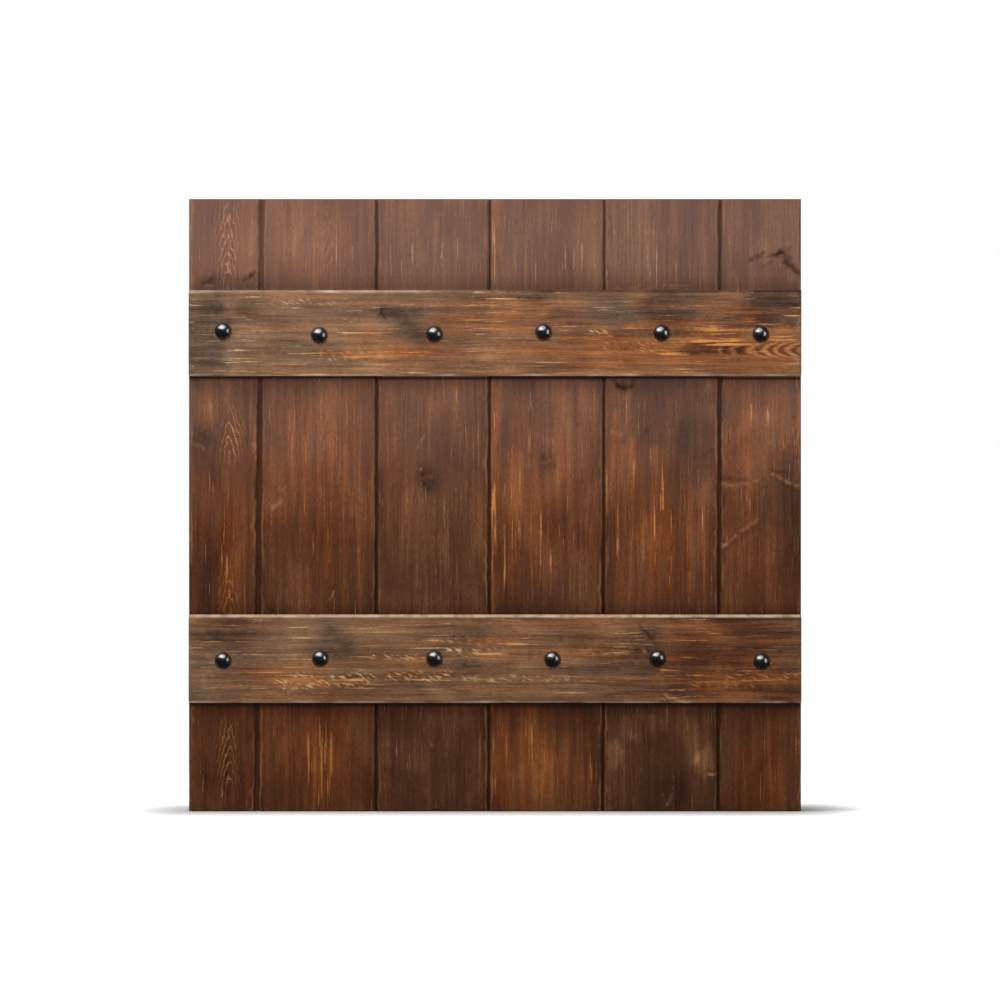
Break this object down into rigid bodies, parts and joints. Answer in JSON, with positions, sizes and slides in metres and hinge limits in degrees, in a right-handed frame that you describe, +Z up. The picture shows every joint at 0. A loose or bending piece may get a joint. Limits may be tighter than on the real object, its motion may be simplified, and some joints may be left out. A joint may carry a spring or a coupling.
{
  "type": "barn door",
  "caption": "Small square barn door of upright tongue-and-groove boards on bolted cross ledges, side-hung on butt hinges over the front of a half-lapped timber frame.",
  "frame": {"origin": "middle of the sill's underside, at mid-depth of the frame", "axes": "+X to the right as seen from the front, +Z up, and the front with the ledges faces -Y"},
  "size_m": [0.75, 0.1244, 0.75],
  "materials": {
    "board_wood": "weathered brown stain, greyer towards the top",
    "ledge_wood": "weathered brown stain with worn light streaks",
    "frame_wood": "sawn softwood, brown stain",
    "black_iron": "glossy black",
    "zinc_steel": "dull zinc plate",
    "hinge_steel": "satin black",
    "pad_rubber": "matt"
  },
  "bodies": {
    "frame": {"left_jamb": "frame_wood", "right_jamb": "frame_wood", "head_rail": "frame_wood", "sill_rail": "frame_wood", "frame_corner_screws": "zinc_steel", "upper_hinge_frame_plate": "hinge_steel", "lower_hinge_frame_plate": "hinge_steel", "upper_hinge_pin": "hinge_steel", "lower_hinge_pin": "hinge_steel", "frame_hinge_screws": "zinc_steel", "closing_pads": "pad_rubber"},
    "leaf": {"board_1": "board_wood", "board_2": "board_wood", "board_3": "board_wood", "board_4": "board_wood", "board_5": "board_wood", "board_6": "board_wood", "upper_ledge": "ledge_wood", "lower_ledge": "ledge_wood", "coach_bolts": "black_iron", "bolt_washers": "zinc_steel", "bolt_nuts": "zinc_steel", "upper_hinge_leaf_plate": "hinge_steel", "lower_hinge_leaf_plate": "hinge_steel", "leaf_hinge_screws": "zinc_steel"}
  },
  "joints": [
    {"name": "leaf_swing", "type": "hinge", "parent": "frame", "child": "leaf", "pos_m": [0.3679, -0.0331, 0.3625], "axis": [0, 0, 1], "range_deg": [0, 110]}
  ]
}
